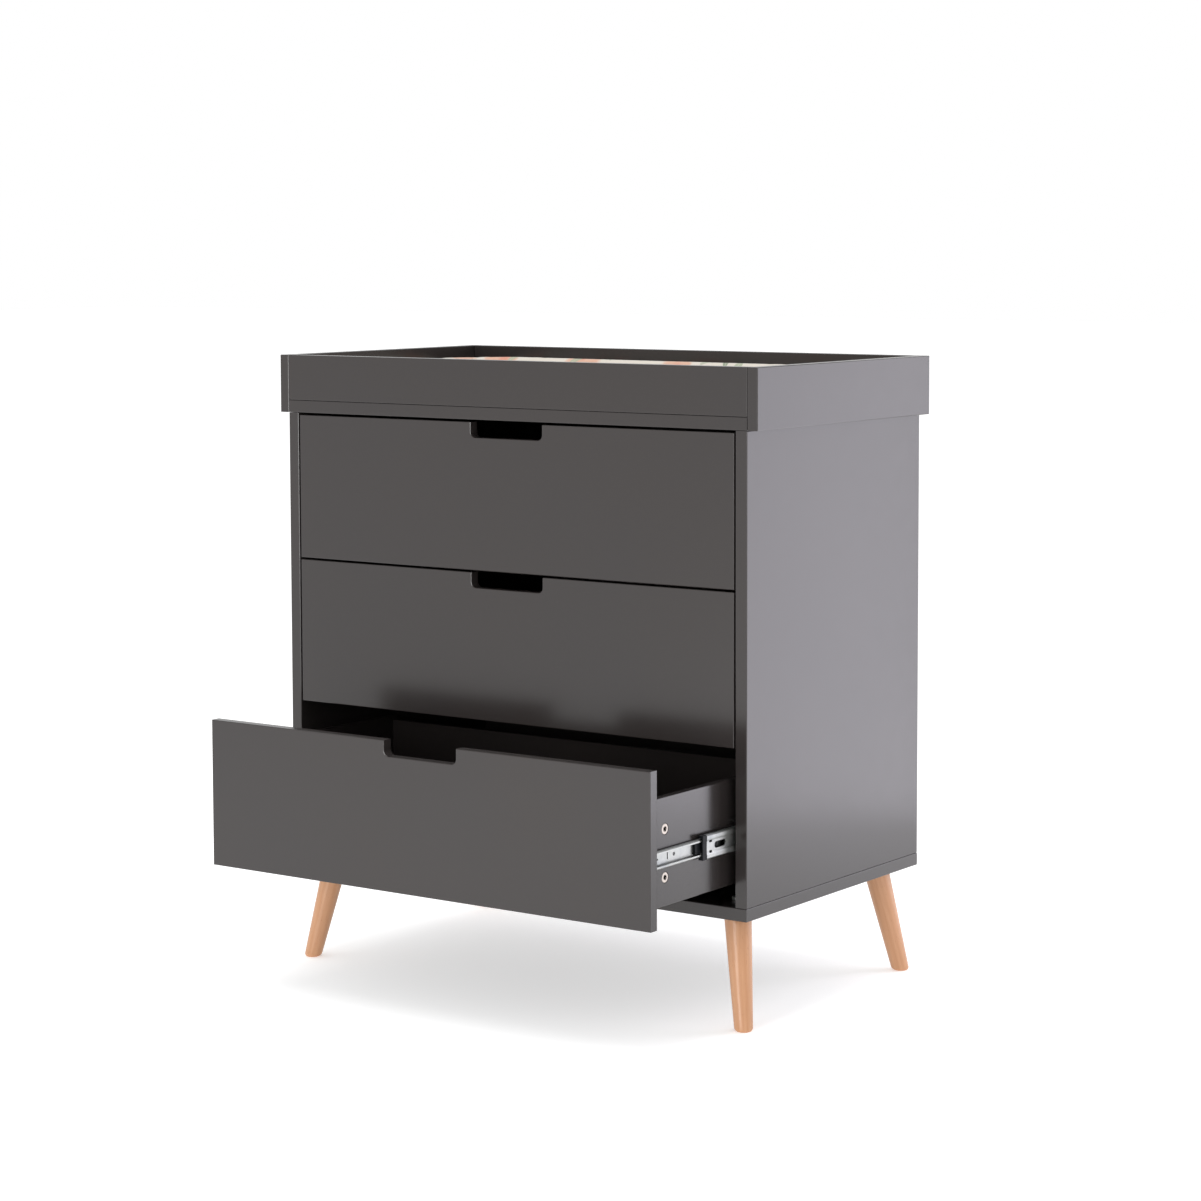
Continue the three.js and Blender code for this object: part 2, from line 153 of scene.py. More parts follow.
def newFinish(name, constants):
    material = bpy.data.materials.new(name)
    material.use_nodes = True
    shader = material.node_tree.nodes["Principled BSDF"]
    for socket, value in constants.items():
        shader.inputs[socket].default_value = value
    return material, Sheet(material.node_tree), shader


def wear(sheet, shader, wires):  # joins wires to the shader's sockets
    for socket, wire in wires.items():
        sheet.tree.links.new(wire.socket, shader.inputs[socket])


def objectPlace(sheet):
    return sheet.node("ShaderNodeTexCoord", output="Object")


paintLook = {
    "warm": (0.0285, 0.0232, 0.0212, 1),
    "cool": (0.0258, 0.0225, 0.0226, 1),
    "speck": (0.075, 0.070, 0.072, 1),
    "speckShare": 0.25,
    "cloudScale": 5.0,
    "hazeScale": 38.0,
    "speckScale": 900.0,
    "speckEdge": (0.66, 0.80),
    "roughness": 0.20,
    "hazeRoughness": 0.06,
    "cloudRoughness": 0.03,
    "peelSize": 0.0016,  # of the sprayed surface's fine ripple
    "peelDepth": 0.000007,
    "waveScale": 70.0,
    "waveDepth": 0.000006,
}


def makePaint(look):
    material, sheet, shader = newFinish("satin_grey_paint", {"IOR": 1.5})
    place = objectPlace(sheet)
    clouds = sheet.noise(place, look["cloudScale"], 3.0)
    haze = sheet.noise(place, look["hazeScale"], 4.0, 0.6)
    specks = sheet.step(sheet.noise(place, look["speckScale"], 1.0), *look["speckEdge"])
    color = sheet.blend(clouds, look["warm"], look["cool"])
    speckled = sheet.blend(specks * look["speckShare"], color, look["speck"])
    spread = (haze - 0.5) * look["hazeRoughness"] + (clouds - 0.5) * look["cloudRoughness"]
    slow = sheet.bump(sheet.noise(place, look["waveScale"], 1.0), look["waveDepth"])
    fine = sheet.bump(sheet.noise(place, 1 / look["peelSize"], 2.0), look["peelDepth"], before=slow)
    wear(sheet, shader, {"Base Color": speckled, "Roughness": look["roughness"] + spread, "Normal": fine})
    return material


beechLook = {
    "pale": (0.600, 0.330, 0.185, 1),
    "deep": (0.470, 0.222, 0.102, 1),
    "fleck": (0.330, 0.140, 0.062, 1),
    "wobbleStretch": (14, 14, 4),  # across, across and along the grain
    "broadStretch": (90, 90, 7),
    "fineStretch": (700, 700, 24),
    "fleckStretch": (1300, 420, 150),
    "ringTilt": (0.8, 0.6),
    "ringCount": 900.0,
    "ringWobble": 0.016,
    "ringShare": 0.25,
    "streakShare": 0.38,
    "streakEdge": (0.35, 0.75),
    "fleckShare": 0.42,
    "fleckEdge": (0.66, 0.76),
    "roughness": 0.36,
    "poreRoughness": 0.14,
    "poreDepth": 0.00003,
    "fleckDepth": 0.00002,
    "lacquer": {"Coat Weight": 0.22, "Coat Roughness": 0.14, "IOR": 1.46},
}


def makeBeech(look):
    material, sheet, shader = newFinish("lacquered_beech", look["lacquer"])
    grain = sheet.node("ShaderNodeAttribute", {"attribute_name": "grain"}, output="Vector")
    wobble = sheet.noise(sheet.stretched(grain, look["wobbleStretch"]), 1.0, 2.0)
    across, deep = sheet.split(grain)[:2]
    tiltAcross, tiltDeep = look["ringTilt"]
    slant = across * tiltAcross + deep * tiltDeep
    phase = (slant + wobble * look["ringWobble"]) * look["ringCount"]
    rings = sheet.math("SINE", phase) * 0.5 + 0.5
    broad = sheet.noise(sheet.stretched(grain, look["broadStretch"]), 1.0, 3.0, 0.55)
    fine = sheet.noise(sheet.stretched(grain, look["fineStretch"]), 1.0, 3.0, 0.6)
    flecks = sheet.noise(sheet.stretched(grain, look["fleckStretch"]), 1.0, 1.0)
    tone = broad * (1 - look["ringShare"]) + rings * look["ringShare"]
    color = sheet.blend(tone, look["pale"], look["deep"])
    streaks = sheet.step(fine, *look["streakEdge"]) * look["streakShare"]
    color = sheet.blend(streaks, color, look["deep"])
    spots = sheet.step(flecks, *look["fleckEdge"]) * look["fleckShare"]
    color = sheet.blend(spots, color, look["fleck"])
    roughness = look["roughness"] + fine * look["poreRoughness"]
    pores = sheet.bump(fine, look["poreDepth"], 0.7)
    rays = sheet.bump(flecks, look["fleckDepth"], 0.5, pores)
    wear(sheet, shader, {"Base Color": color, "Roughness": roughness, "Normal": rays})
    return material


zincLook = {
    "bright": (0.40, 0.41, 0.395, 1),
    "dull": (0.24, 0.26, 0.29, 1),
    "dullShare": 0.45,
    "dullEdge": (0.45, 0.80),
    "cloudScale": 60.0,
    "roughness": 0.30,
    "brushStretch": (1400, 40, 1400),  # brushed along y
    "brushRoughness": 0.14,
    "brushDepth": 0.000012,
    "spangleScale": 260.0,
    "spangleShare": 0.10,
    "spangleRoughness": 0.05,
}
screwLook = dict(zincLook, bright=(0.15, 0.15, 0.15, 1), dull=(0.09, 0.09, 0.10, 1))


def makeZinc(name, look):
    material, sheet, shader = newFinish(name, {"Metallic": 1.0})
    place = objectPlace(sheet)
    brushed = sheet.noise(sheet.stretched(place, look["brushStretch"]), 1.0, 3.0)
    values = {"Vector": place, "Scale": look["spangleScale"]}
    tone = sheet.split(sheet.node("ShaderNodeTexVoronoi", {}, values, "Color"))[0]
    clouds = sheet.noise(place, look["cloudScale"], 3.0)
    dullness = sheet.step(clouds, *look["dullEdge"]) * look["dullShare"] + tone * look["spangleShare"]
    color = sheet.blend(dullness, look["bright"], look["dull"])
    roughness = look["roughness"] + brushed * look["brushRoughness"] + tone * look["spangleRoughness"]
    scratches = sheet.bump(brushed, look["brushDepth"])
    wear(sheet, shader, {"Base Color": color, "Roughness": roughness, "Normal": scratches})
    return material


nickelLook = {
    "bright": (0.50, 0.45, 0.405, 1),
    "stained": (0.32, 0.27, 0.23, 1),
    "stainScale": 240.0,
    "stainEdge": (0.5, 0.8),
    "stainShare": 0.5,
    # painted shade: the cam's sunk well and cross turn near black below its face
    "recessShade": (0.012, 0.010, 0.009, 1),
    "recessShadeDepth": (0.0004, 0.0014),  # starts and is full this far below the cam's face
    "roughness": 0.32,
    "skinScale": 1500.0,  # of the casting's skin
    "skinRoughness": 0.18,
    "skinDepth": 0.00003,
}


def makeNickel(look, face):
    material, sheet, shader = newFinish("nickel_cam_metal", {"Metallic": 1.0})
    place = objectPlace(sheet)
    castSkin = sheet.noise(place, look["skinScale"], 3.0, 0.6)
    clouds = sheet.noise(place, look["stainScale"], 2.0)
    stain = sheet.step(clouds, *look["stainEdge"]) * look["stainShare"]
    color = sheet.blend(stain, look["bright"], look["stained"])
    sunk = face - abs(sheet.split(place)[0])
    # painted shade, deepening with the depth below the cam's face where the well and cross lie
    color = sheet.blend(sheet.step(sunk, *look["recessShadeDepth"]), color, look["recessShade"])
    roughness = look["roughness"] + castSkin * look["skinRoughness"]
    pits = sheet.bump(castSkin, look["skinDepth"], 0.8)
    wear(sheet, shader, {"Base Color": color, "Roughness": roughness, "Normal": pits})
    return material


plasticLook = {
    "color": (0.008, 0.009, 0.011, 1),
    "scuffed": (0.022, 0.024, 0.028, 1),
    "scuffEdge": (0.5, 0.85),
    "grainSize": 0.0007,
    "grainDepth": 0.00003,
    "cloudScale": 90.0,
    "roughness": 0.36,
    "cloudRoughness": 0.16,
}


def makePlastic(look):
    settings = {"IOR": 1.49, "Specular IOR Level": 0.12}
    material, sheet, shader = newFinish("black_moulded_plastic", settings)
    place = objectPlace(sheet)
    grain = sheet.noise(place, 1 / look["grainSize"], 2.0)
    clouds = sheet.noise(place, look["cloudScale"], 3.0)
    color = sheet.blend(sheet.step(clouds, *look["scuffEdge"]), look["color"], look["scuffed"])
    roughness = look["roughness"] + clouds * look["cloudRoughness"]
    texture = sheet.bump(grain, look["grainDepth"], 0.6)
    wear(sheet, shader, {"Base Color": color, "Roughness": roughness, "Normal": texture})
    return material


paint = makePaint(paintLook)
beech = makeBeech(beechLook)
zinc = makeZinc("bright_zinc_plate", zincLook)
screwSteel = makeZinc("grey_screw_steel", screwLook)
nickel = makeNickel(nickelLook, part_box("lower_drawer_side_right")[1].x)
blackPlastic = makePlastic(plasticLook)

finishOfSlot = {"painted_board": paint, "beech": beech, "zinc_steel": zinc, "black_plastic": blackPlastic}
for part in frame["record"]["subparts"]:
    if part["material_slot"] in finishOfSlot:
        mesh = frame["nodes"][part["node"]].data
        mesh.materials.clear()
        mesh.materials.append(finishOfSlot[part["material_slot"]])
print("finishes made and put on the frame's nodes")


# Shared mesh work

def addPiece(name, mesh, material=None, smooth=False):
    piece = bpy.data.objects.new(name, mesh)
    scene.collection.objects.link(piece)
    if material:
        mesh.materials.clear()
        mesh.materials.append(material)
    mesh.polygons.foreach_set("use_smooth", [smooth] * len(mesh.polygons))
    return piece


def meshOf(shape, name):  # turns a bmesh into a mesh with its faces outwards
    bmesh.ops.recalc_face_normals(shape, faces=shape.faces)
    mesh = bpy.data.meshes.new(name)
    shape.to_mesh(mesh)
    shape.free()
    return mesh


def finished(piece):  # its modifiers applied
    evaluated = piece.evaluated_get(bpy.context.evaluated_depsgraph_get())
    mesh = bpy.data.meshes.new_from_object(evaluated)
    piece.modifiers.clear()
    piece.data = mesh
    return piece


def outwards(side):
    return -1 if side == "left" else 1


def outerFace(box, sign):  # the x of a box's face on the given side
    return box[1].x if sign > 0 else box[0].x


# What repeats: screws, cams and balls on points

class Recipe(Sheet):  # a geometry tree with named inputs
    kinds = {float: "NodeSocketFloat", int: "NodeSocketInt"}

    def __init__(self, name, sizes):
        super().__init__(bpy.data.node_groups.new(name, "GeometryNodeTree"))
        face = self.tree.interface
        face.new_socket("Geometry", in_out="OUTPUT", socket_type="NodeSocketGeometry")
        face.new_socket("Geometry", in_out="INPUT", socket_type="NodeSocketGeometry")
        self.keys = {}
        self.sizes = sizes
        for label, size in sizes.items():
            made = face.new_socket(label, in_out="INPUT", socket_type=self.kinds[type(size)])
            self.keys[label] = made.identifier
        made = face.new_socket("Finish", in_out="INPUT", socket_type="NodeSocketMaterial")
        self.keys["Finish"] = made.identifier
        self.start = self.node("NodeGroupInput")

    def size(self, label):
        return self.start.output(label)

    def xyz(self, x, y, z):
        return self.node("ShaderNodeCombineXYZ", {}, {0: x, 1: y, 2: z})

    def moved(self, geometry, x=0.0, y=0.0, z=0.0):
        values = {"Geometry": geometry, "Translation": self.xyz(x, y, z)}
        return self.node("GeometryNodeTransform", {}, values)

    def without(self, geometry, *cutters):
        settings = {"operation": "DIFFERENCE", "solver": "EXACT"}
        return self.node("GeometryNodeMeshBoolean", settings, {"Mesh 1": geometry, "Mesh 2": list(cutters)})

    def joined(self, *parts):
        return self.node("GeometryNodeJoinGeometry", {}, {"Geometry": list(parts)})

    def disc(self, radius, depth, corners=28):
        values = {"Vertices": corners, "Radius": radius, "Depth": depth}
        return self.node("GeometryNodeMeshCylinder", {}, values)

    def taper(self, lower, upper, depth, corners=28):
        values = {"Vertices": corners, "Radius Bottom": lower, "Radius Top": upper, "Depth": depth}
        return self.node("GeometryNodeMeshCone", {}, values)

    def bar(self, x, y, z):
        return self.node("GeometryNodeMeshCube", {}, {"Size": self.xyz(x, y, z)})

    def onPoints(self, points, shape):  # stands the shape on each point, along its facing, turned at random
        settings = {"data_type": "FLOAT_VECTOR"}
        facing = self.node("GeometryNodeInputNamedAttribute", settings, {"Name": "facing"})
        turned = self.node("FunctionNodeAlignRotationToVector", {"axis": "Z"}, {"Vector": facing})
        angle = self.node("FunctionNodeRandomValue", {}, {3: 2 * math.pi, "Seed": self.size("Seed")}, 1)
        about = self.node("FunctionNodeAxisAngleToRotation", {}, {"Axis": (0, 0, 1), "Angle": angle})
        values = {"Rotation": turned, "Rotate By": about}
        spun = self.node("FunctionNodeRotateRotation", {"rotation_space": "LOCAL"}, values)
        values = {"Points": points, "Instance": shape, "Rotation": spun}
        return self.node("GeometryNodeInstanceOnPoints", {}, values)

    def end(self, geometry):
        real = self.node("GeometryNodeRealizeInstances", {}, {0: geometry})
        values = {"Geometry": real, "Material": self.size("Finish")}
        faced = self.node("GeometryNodeSetMaterial", {}, values)
        self.node("NodeGroupOutput", {}, {0: faced})

    def run(self, name, points, facings, material, edges=()):  # makes one plain mesh piece
        mesh = bpy.data.meshes.new(name)
        mesh.from_pydata(points, edges, [])
        facing = mesh.attributes.new("facing", "FLOAT_VECTOR", "POINT")
        facing.data.foreach_set("vector", [number for one in facings for number in one])
        piece = addPiece(name, mesh)
        maker = piece.modifiers.new("recipe", "NODES")
        maker.node_group = self.tree
        for label, size in self.sizes.items():
            maker[self.keys[label]] = size
        maker[self.keys["Finish"]] = material
        return finished(piece)


seatShare = 0.98  # of the seat's radius to the head's
crossHeart = 1.7  # of the recess's middle to its arms


def screwRecipe(name, sizes):  # a countersunk or pan head with a cross recess, its seat at z = 0
    recipe = Recipe(name, sizes)
    radius, height = recipe.size("Head radius"), recipe.size("Head height")
    head = recipe.taper(radius, radius * recipe.size("Crown share"), height)
    seat = recipe.moved(recipe.disc(radius * seatShare, height), z=height * -0.5)
    arm, width = recipe.size("Cross length"), recipe.size("Cross width")
    depth = recipe.size("Cross depth") * 2
    middle = width * crossHeart
    cuts = [recipe.bar(x, y, depth) for x, y in ((arm, width), (width, arm), (middle, middle))]
    cross = [recipe.moved(one, z=height) for one in cuts]
    recipe.end(recipe.onPoints(recipe.start, recipe.joined(recipe.without(head, *cross), seat)))
    return recipe


runnerScrew = {
    "Head radius": 0.0027, "Head height": 0.0011, "Crown share": 0.72,
    "Cross length": 0.0030, "Cross width": 0.0006, "Cross depth": 0.0009, "Seed": 3,
}
boardScrew = {
    "Head radius": 0.0040, "Head height": 0.0005, "Crown share": 0.94,
    "Cross length": 0.0046, "Cross width": 0.0010, "Cross depth": 0.0016, "Seed": 11,
}
camLock = {
    "Radius": 0.0071, "Depth": 0.0090, "Rim width": 0.0034, "Rim step": 0.0007,
    "Cross length": 0.0070, "Cross width": 0.0024, "Cross depth": 0.0036, "Seed": 7,
}
camEdge = {
    "bevel": 0.0004, "faceShare": 0.95, "corners": 36,
    "arrow": (0.0011, 0.0007, 0.0006), "arrowPlace": 0.80,  # the small pointer by the rim
}


def camRecipe(sizes):  # a round cam with a sunk middle, a cross for the driver and its face at z = 0
    recipe = Recipe("cam_lock_recipe", sizes)
    radius, depth, rim = recipe.size("Radius"), recipe.size("Depth"), recipe.size("Rim step")
    bevel, corners = camEdge["bevel"], camEdge["corners"]
    lip = recipe.moved(recipe.taper(radius, radius * camEdge["faceShare"], bevel, corners), z=-bevel)
    barrel = recipe.moved(recipe.disc(radius, depth, corners), z=depth * -0.5 - bevel)
    well = recipe.disc(radius - recipe.size("Rim width"), rim * 2, corners)
    arm, width = recipe.size("Cross length"), recipe.size("Cross width")
    drop = recipe.size("Cross depth") * 2
    settings = {"operation": "UNION", "solver": "EXACT"}
    body = recipe.node("GeometryNodeMeshBoolean", settings, {"Mesh 2": [lip, barrel]})
    cross = [recipe.bar(arm, width, drop), recipe.bar(width, arm, drop)]
    arrow = recipe.moved(recipe.bar(*camEdge["arrow"]), x=radius * camEdge["arrowPlace"])
    recipe.end(recipe.onPoints(recipe.start, recipe.without(body, well, arrow, *cross)))
    return recipe


ballRow = {
    "Balls": 9, "Pitch": 0.0072, "Ball radius": 0.0016,
    "Strip width": 0.0040, "Strip thickness": 0.0005, "Collar radius": 0.0021, "Collar height": 0.0011,
}


def ballRecipe(name, sizes):  # a row of balls along y, in a strip with a collar round each
    recipe = Recipe(name, sizes)
    count, pitch = recipe.size("Balls"), recipe.size("Pitch")
    line = recipe.node("GeometryNodeMeshLine", {}, {"Count": count, "Offset": recipe.xyz(0.0, pitch, 0.0)})
    values = {"Radius": recipe.size("Ball radius"), "Subdivisions": 2}
    ball = recipe.node("GeometryNodeMeshIcoSphere", {}, values)
    smoothBall = recipe.node("GeometryNodeSetShadeSmooth", {}, {"Geometry": ball})
    collar = recipe.disc(recipe.size("Collar radius"), recipe.size("Collar height"), 16)
    unit = recipe.joined(smoothBall, collar)
    balls = recipe.node("GeometryNodeInstanceOnPoints", {}, {"Points": line, "Instance": unit})
    length = pitch * count
    strip = recipe.bar(recipe.size("Strip width"), length, recipe.size("Strip thickness"))
    row = recipe.joined(balls, recipe.moved(strip, y=(length - pitch) * 0.5))
    recipe.end(recipe.node("GeometryNodeInstanceOnPoints", {}, {"Points": recipe.start, "Instance": row}))
    return recipe


screwInRunner = screwRecipe("runner_screw_recipe", runnerScrew)
screwInBoard = screwRecipe("board_screw_recipe", boardScrew)
cams = camRecipe(camLock)
innerBalls = ballRecipe("inner_ball_recipe", ballRow)
largeBall = {"Ball radius": 0.0023, "Collar radius": 0.0028, "Strip width": 0.0052}
outerBalls = ballRecipe("outer_ball_recipe", dict(ballRow, **largeBall))


def dress(piece, body):
    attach(piece, body)


# Cam locks and runner screws on the drawers

camPlaces = {"setback": 0.0327, "heights": (0.038, 0.102), "sunk": 0.0002}
innerScrewPlace = {"setback": 0.0485, "rise": 0.0015, "fromBox": 0.0010}
bottomScrewInset = 0.06  # from the sides of the drawer bottom

for drawer in drawers:
    points, facings = [], []
    screwPoints, screwFacings = [], []
    for side in sides:
        sign = outwards(side)
        low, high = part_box(f"{drawer}_drawer_side_{side}")
        face = outerFace((low, high), sign)
        for height in camPlaces["heights"]:
            points.append((face - sign * camPlaces["sunk"], low.y + camPlaces["setback"], low.z + height))
            facings.append((sign, 0, 0))
        low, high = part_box(f"{drawer}_runner_{side}_inner_member")
        y = low.y + innerScrewPlace["setback"]
        z = (low.z + high.z) / 2 + innerScrewPlace["rise"]
        screwPoints.append((face + sign * innerScrewPlace["fromBox"], y, z))
        screwFacings.append((sign, 0, 0))
    locks = cams.run(f"{drawer}_cam_locks", points, facings, nickel)
    dress(locks, f"{drawer}_drawer")
    heads = screwInRunner.run(f"{drawer}_drawer_runner_screws", screwPoints, screwFacings, screwSteel)
    dress(heads, f"{drawer}_drawer")

    low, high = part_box(f"{drawer}_drawer_bottom")
    backLow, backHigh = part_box(f"{drawer}_drawer_back")
    y = (backLow.y + backHigh.y) / 2
    points = [(x * (high.x - bottomScrewInset), y, low.z) for x in (-1, 0, 1)]
    heads = screwInBoard.run(f"{drawer}_drawer_bottom_screws", points, [(0, 0, -1)] * 3, zinc)
    dress(heads, f"{drawer}_drawer")
print("cam locks and drawer screws made")


# Screws in the cabinet

outerScrewPlace = {"setbacks": (0.035, 0.227), "fromWeb": 0.0009}
boardScrewPlace = {
    "baseShares": (0.27, 0.5, 0.73),  # of the base's depth
    "trayShares": (-0.8, -0.27, 0.27, 0.8),  # of the tray's half width
}

points, facings = [], []
for drawer in drawers:
    for side in sides:
        sign = outwards(side)
        low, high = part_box(f"{drawer}_runner_{side}_outer_member")
        web = outerFace((low, high), sign)
        for setback in outerScrewPlace["setbacks"]:
            x = web - sign * outerScrewPlace["fromWeb"]
            points.append((x, low.y + setback, (low.z + high.z) / 2))
            facings.append((-sign, 0, 0))
dress(screwInRunner.run("cabinet_runner_screws", points, facings, screwSteel), "cabinet")

baseLow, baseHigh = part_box("cabinet_base")
sideLow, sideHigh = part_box("cabinet_side_right")
middle = (sideLow.x + sideHigh.x) / 2
depths = [baseLow.y + (baseHigh.y - baseLow.y) * share for share in boardScrewPlace["baseShares"]]
points = [(sign * middle, y, baseLow.z) for sign in (-1, 1) for y in depths]
dress(screwInBoard.run("base_screws", points, [(0, 0, -1)] * 6, zinc), "cabinet")

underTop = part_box("cabinet_top")[0].z
points = []
for end in ends:
    low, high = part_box(f"tray_{end}")
    y = (low.y + high.y) / 2
    points += [(share * high.x, y, underTop) for share in boardScrewPlace["trayShares"]]
# painted over with the boards
dress(screwInBoard.run("tray_screws", points, [(0, 0, -1)] * 8, paint), "cabinet")
print("cabinet screws made")


# Runner bumpers, ball strips and balls, on the centre members

bumper = {
    "length": 0.0096, "arm": 0.0037, "web": 0.0021, "nearBox": 0.0032, "farFromBox": 0.0105,
    "gap": 0.0002, "edge": 0.0004,
}


def bumperMesh(sign, box, boxFace, sizes):  # a C-shaped block round the inner member
    low, high = box
    half = (high.z - low.z) / 2
    z = (low.z + high.z) / 2
    near, far = sizes["nearBox"], sizes["farFromBox"]
    inside = half - sizes["arm"]
    webSide = far - sizes["web"]
    outline = [(near, half), (far, half), (far, -half), (near, -half)]
    outline += [(near, -inside), (webSide, -inside), (webSide, inside), (near, inside)]
    rear = low.y - sizes["gap"]
    shape = bmesh.new()
    rings = []
    for y in (rear - sizes["length"], rear):
        rings.append([shape.verts.new((boxFace + sign * u, y, z + h)) for u, h in outline])
    for i in range(len(outline)):
        j = (i + 1) % len(outline)
        shape.faces.new((rings[0][i], rings[0][j], rings[1][j], rings[1][i]))
    shape.faces.new(rings[0])
    shape.faces.new(rings[1])
    return meshOf(shape, "bumper")


ballPlaces = {
    "innerX": 0.00525, "innerZ": 0.01365, "innerSetback": 0.016,
    "outerX": 0.0060, "outerZ": 0.01890, "outerFromRear": 0.076,
}

for drawer in drawers:
    for side in sides:
        sign = outwards(side)
        body = f"{drawer}_{side}_centre_member"
        low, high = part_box(f"{drawer}_runner_{side}_centre_member")
        face = outerFace(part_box(f"{drawer}_drawer_side_{side}"), sign)
        blockMesh = bumperMesh(sign, (low, high), face, bumper)
        block = addPiece(f"{drawer}_{side}_runner_bumper", blockMesh, blackPlastic)
        softened = block.modifiers.new("edges", "BEVEL")
        softened.width = bumper["edge"]
        softened.segments = 2
        dress(finished(block), body)

        z = (low.z + high.z) / 2
        x = face + sign * ballPlaces["innerX"]
        rows = [(x, low.y + ballPlaces["innerSetback"], z + up * ballPlaces["innerZ"]) for up in (-1, 1)]
        balls = innerBalls.run(f"{drawer}_{side}_inner_balls", rows, [(0, 0, 1)] * 2, zinc)
        dress(balls, body)
        x = face + sign * ballPlaces["outerX"]
        y = high.y - ballPlaces["outerFromRear"]
        rows = [(x, y, z + up * ballPlaces["outerZ"]) for up in (-1, 1)]
        balls = outerBalls.run(f"{drawer}_{side}_outer_balls", rows, [(0, 0, 1)] * 2, zinc)
        dress(balls, body)
print("runner bumpers and balls made")


# Turned legs

turnedLeg = {
    "topRadius": 0.019, "footRadius": 0.013, "footRounding": 0.0055, "topEase": 0.0006,
    "turns": 72, "bands": 12, "roundingSteps": 6, "sharpAngle": math.radians(40),
    "grainShift": (3, 5),  # takes each leg's grain from its own part of the tree
    "grainStart": (0.06, 0.03),  # keeps the heart of the tree out of the leg
}


def legMesh(foot, top, sizes):  # a tapered round from foot to top, level at both
    height = top.z - foot.z
    rounding = sizes["footRounding"]
    profile = [(0.0, 0.0)]
    for i in range(sizes["roundingSteps"] + 1):
        angle = math.pi / 2 * i / sizes["roundingSteps"]
        reach = sizes["footRadius"] - rounding + rounding * math.sin(angle)
        profile.append((reach, rounding * (1 - math.cos(angle))))
    for i in range(1, sizes["bands"] + 1):
        share = i / sizes["bands"]
        z = rounding + (height - sizes["topEase"] - rounding) * share
        profile.append((sizes["footRadius"] + (sizes["topRadius"] - sizes["footRadius"]) * share, z))
    profile.append((sizes["topRadius"] - sizes["topEase"], height))
    profile.append((0.0, height))
    grainX = foot.x * sizes["grainShift"][0] + sizes["grainStart"][0]
    grainY = foot.y * sizes["grainShift"][1] + sizes["grainStart"][1]
    shape = bmesh.new()
    grainPlaces = []
    rings = []
    for radius, z in profile:
        centre = foot.lerp(top, z / height)
        ring = []
        for i in range(sizes["turns"] if radius else 1):
            angle = 2 * math.pi * i / sizes["turns"]
            out = Vector((radius * math.cos(angle), radius * math.sin(angle), 0))
            ring.append(shape.verts.new((centre.x + out.x, centre.y + out.y, foot.z + z)))
            grainPlaces += [grainX + out.x, grainY + out.y, z]
        rings.append(ring)
    for below, above in zip(rings, rings[1:]):
        for i in range(sizes["turns"]):
            j = (i + 1) % sizes["turns"]
            lower = [below[i % len(below)], below[j % len(below)]]
            upper = [above[j % len(above)], above[i % len(above)]]
            shape.faces.new(list(dict.fromkeys(lower + upper)))
    mesh = meshOf(shape, "leg")
    mesh.attributes.new("grain", "FLOAT_VECTOR", "POINT").data.foreach_set("vector", grainPlaces)
    return mesh


for end in ends:
    for side in sides:
        low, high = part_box(f"leg_{end}_{side}")
        footX = low.x + turnedLeg["footRadius"] if side == "left" else high.x - turnedLeg["footRadius"]
        topX = high.x - turnedLeg["topRadius"] if side == "left" else low.x + turnedLeg["topRadius"]
        footY = low.y + turnedLeg["footRadius"] if end == "front" else high.y - turnedLeg["footRadius"]
        topY = high.y - turnedLeg["topRadius"] if end == "front" else low.y + turnedLeg["topRadius"]
        foot, top = Vector((footX, footY, low.z)), Vector((topX, topY, high.z))
        mesh = legMesh(foot, top, turnedLeg)
        leg = addPiece(f"turned_leg_{end}_{side}", mesh, beech, smooth=True)
        mesh.set_sharp_from_angle(angle=turnedLeg["sharpAngle"])
        dress(leg, "cabinet")
        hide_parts(f"leg_{end}_{side}")
print("legs turned")


# Changing mat

matLook = {
    "cloth": (0.640, 0.595, 0.525, 1),
    "peach": (0.640, 0.330, 0.215, 1),
    "heart": (0.620, 0.200, 0.130, 1),
    "leaf": (0.150, 0.215, 0.115, 1),
    "sage": (0.340, 0.385, 0.265, 1),
    "shadow": (0.350, 0.320, 0.280, 1),  # between the threads
    "bloomCell": 0.115,
    "leafCell": 0.060,
    "threadPitch": 0.0012,
    "threadDepth": 0.00012,
    "creaseScale": 26.0,
    "creaseDepth": 0.0012,
    "stainScale": 55.0,
    "roughness": 0.46,
    "threadRoughness": 0.10,
    "stainRoughness": 0.08,
    "sheen": {"Sheen Weight": 0.15, "Sheen Roughness": 0.4, "IOR": 1.46},
    # how strongly each print covers what lies under it
    "bloomShares": (0.55, 0.45),  # everywhere, and with the stain
    "heartShare": 0.65,
    "leafShares": (0.70, 0.30),
    "veinShare": 0.55,
    "shadowShare": 0.12,
}
leafKinds = (  # colour, where its cells start, blade length and width as shares of a cell
    ("sage", (0.0, 0.0, 0), 0.40, 0.13),
    ("leaf", (5.4, 2.7, 0), 0.34, 0.085),
)
leafShape = {
    "wander": 0.85,  # of the leaves from a plain grid
    "lengths": (0.75, 0.5),  # shortest, and how much is added to the longest
    "edge": 0.02,
    "vein": (0.004, 0.014),
    "missing": (0.22, 0.24),  # this share of the cells has no leaf
}
bloomShape = {
    "start": (3.3, 1.7, 0),
    "driftScale": 2.6,
    "drift": (0.55, 0.55, 0),
    "edge": (0.20, 0.29),
    "heart": (0.03, 0.13),
}


